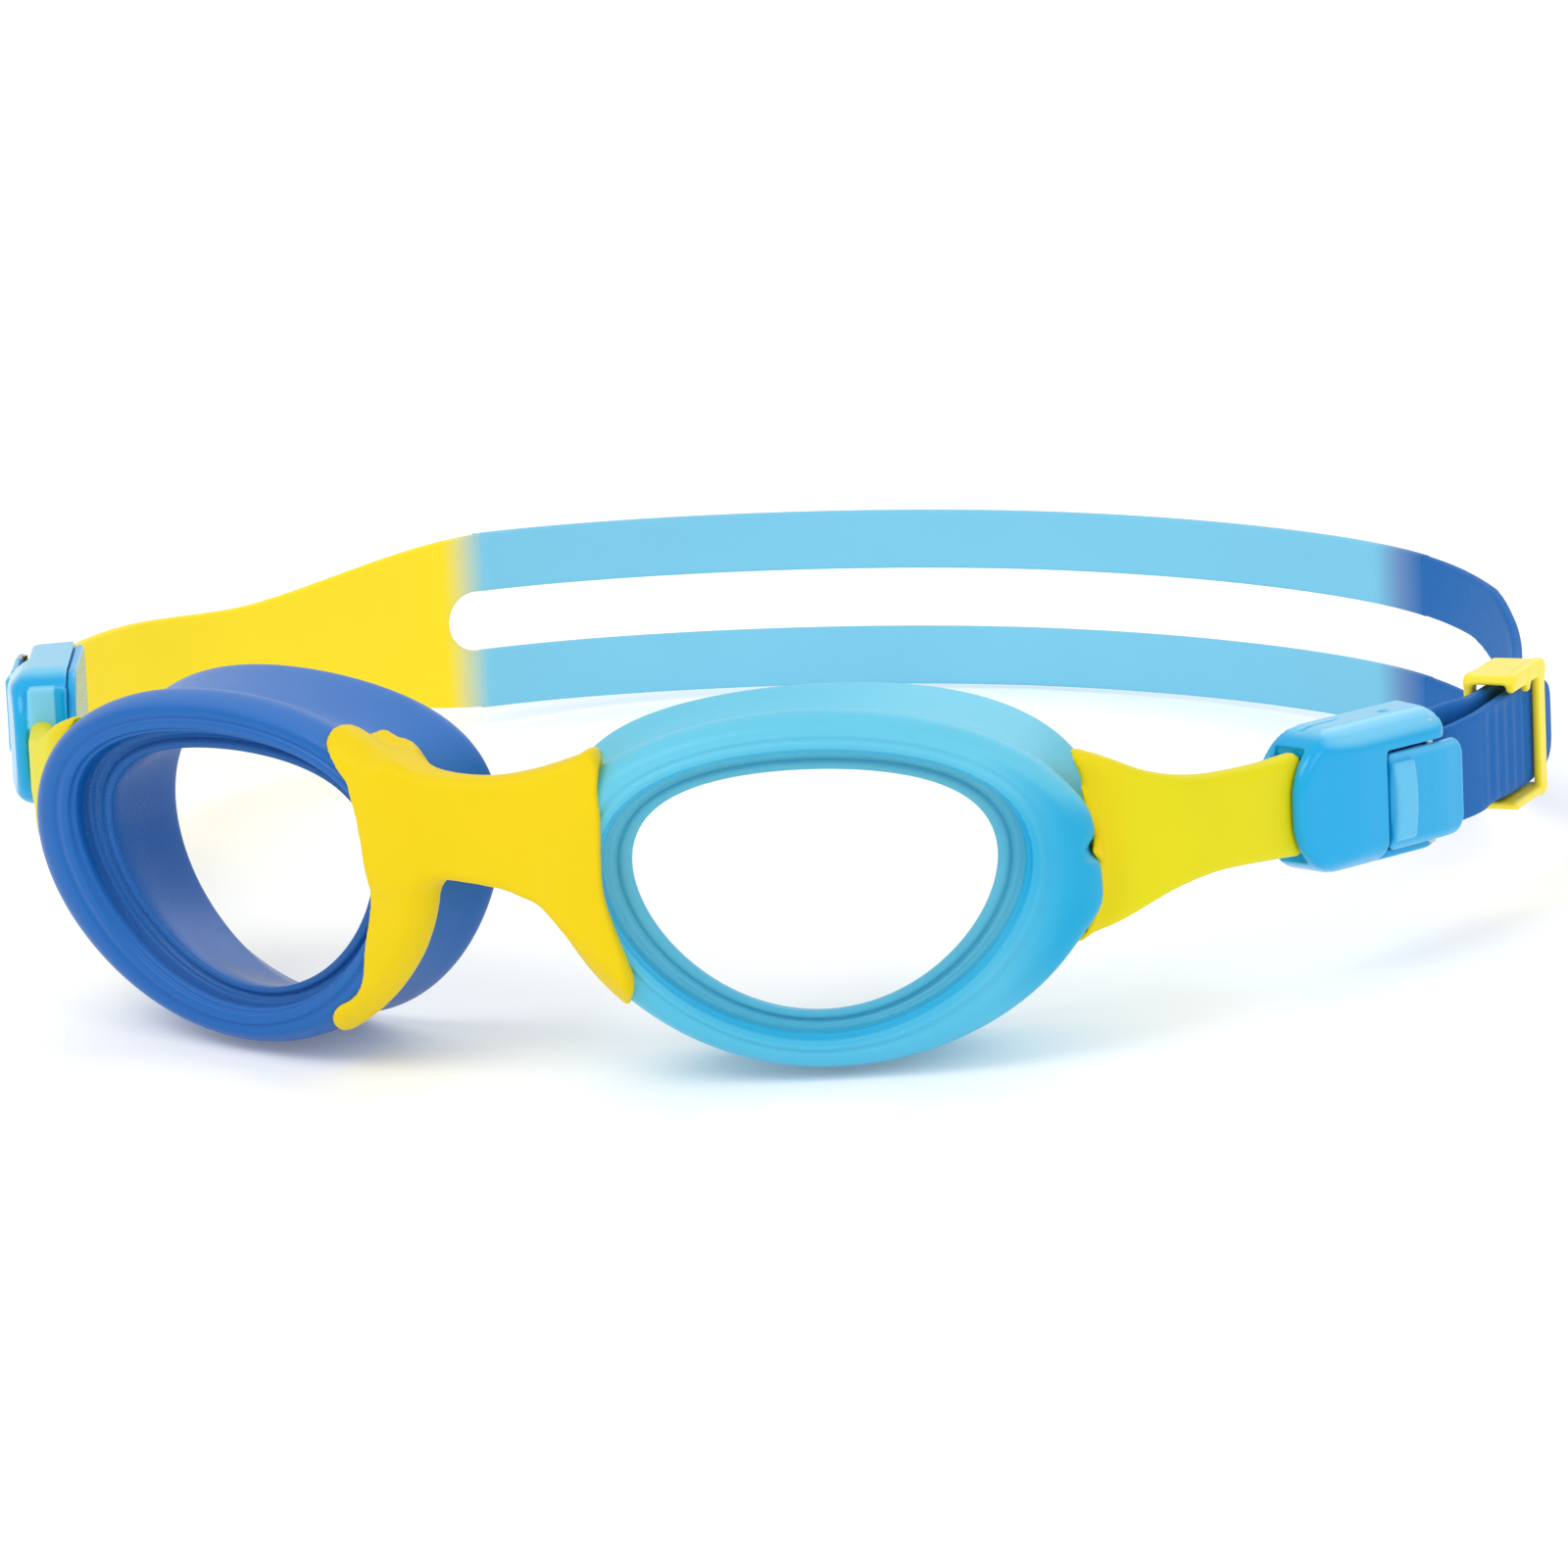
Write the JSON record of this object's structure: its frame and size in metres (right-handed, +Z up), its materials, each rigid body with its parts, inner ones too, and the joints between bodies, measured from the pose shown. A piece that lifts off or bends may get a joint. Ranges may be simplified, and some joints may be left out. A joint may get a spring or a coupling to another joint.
{
  "type": "swim goggles",
  "caption": "Swim goggles with soft egg-shaped eyecups, clear lenses, a soft nose bridge, clip buckles with release levers and a split elastic strap with a keeper.",
  "frame": {"origin": "middle of the footprint on the surface that the goggles rest on", "axes": "+X to the wearer's left, -Y the way the wearer looks, +Z up, with the eyecups upright and the strap's back lying on the surface"},
  "size_m": [0.1887, 0.1748, 0.0425],
  "materials": {
    "blue_rubber": "soft satin moulded rubber, blue",
    "turquoise_rubber": "soft satin moulded rubber, slightly translucent turquoise",
    "yellow_rubber": "soft matte moulded rubber, yellow",
    "clear_lens": "clear polished polycarbonate",
    "strap_yellow": "smooth matte elastic strap, yellow",
    "strap_light_blue": "smooth matte elastic strap, light blue",
    "strap_blue": "smooth matte elastic strap, blue",
    "buckle_cyan": "glossy moulded plastic, cyan",
    "slide_yellow": "smooth moulded plastic, yellow",
    "steel_pin": "plain stainless steel"
  },
  "bodies": {
    "front": {"eyecup_right": "blue_rubber", "eyecup_left": "turquoise_rubber", "lens_right": "clear_lens", "lens_left": "clear_lens", "nose_bridge": "yellow_rubber", "temple_arm_right": "yellow_rubber", "temple_arm_left": "yellow_rubber"},
    "strap": {"arm_end_right": "yellow_rubber", "arm_end_left": "yellow_rubber", "arm_pin_right": "steel_pin", "arm_pin_left": "steel_pin", "buckle_housing_right": "buckle_cyan", "buckle_housing_left": "buckle_cyan", "buckle_cover_right": "buckle_cyan", "buckle_cover_left": "buckle_cyan", "strap_post_right": "buckle_cyan", "strap_post_left": "buckle_cyan", "lever_pin_right": "steel_pin", "lever_pin_left": "steel_pin", "lever_spring_right": "steel_pin", "lever_spring_left": "steel_pin", "strap_right_end": "strap_yellow", "strap_left_end": "strap_blue", "strap_tail": "strap_blue"},
    "lever_right": {"release_lever_right": "buckle_cyan"},
    "lever_left": {"release_lever_left": "buckle_cyan"},
    "slide": {"strap_slide": "slide_yellow"},
    "band_upper": {"upper_band": "strap_light_blue"},
    "band_lower": {"lower_band": "strap_light_blue"}
  },
  "joints": [
    {"name": "strap_swing", "type": "hinge", "parent": "front", "child": "strap", "pos_m": [0, -0.04767, 0.02307], "axis": [1, 0, 0], "range_deg": [-15, 15], "stiffness_Nm_per_rad": 0.15},
    {"name": "lever_left_press", "type": "hinge", "parent": "strap", "child": "lever_left", "pos_m": [0.09069, -0.01961, 0.02038], "axis": [0, -0.083, -0.9966], "range_deg": [0, 10], "stiffness_Nm_per_rad": 0.05},
    {"name": "lever_right_press", "type": "hinge", "parent": "strap", "child": "lever_right", "pos_m": [-0.09069, -0.0194, 0.02287], "axis": [0, 0.083, 0.9966], "range_deg": [0, 10], "stiffness_Nm_per_rad": 0.05},
    {"name": "slide_travel", "type": "slide", "parent": "strap", "child": "slide", "axis": [-0.0013, 0.9966, -0.083], "range_m": [-0.005, 0.002]},
    {"name": "upper_band_spread", "type": "hinge", "parent": "strap", "child": "band_upper", "pos_m": [0, 0.06352, 0.02121], "axis": [1, 0, 0], "range_deg": [0, 18], "stiffness_Nm_per_rad": 0.02},
    {"name": "lower_band_spread", "type": "hinge", "parent": "strap", "child": "band_lower", "pos_m": [0, 0.06224, 0.00581], "axis": [1, 0, 0], "range_deg": [-18, 0], "stiffness_Nm_per_rad": 0.02}
  ]
}
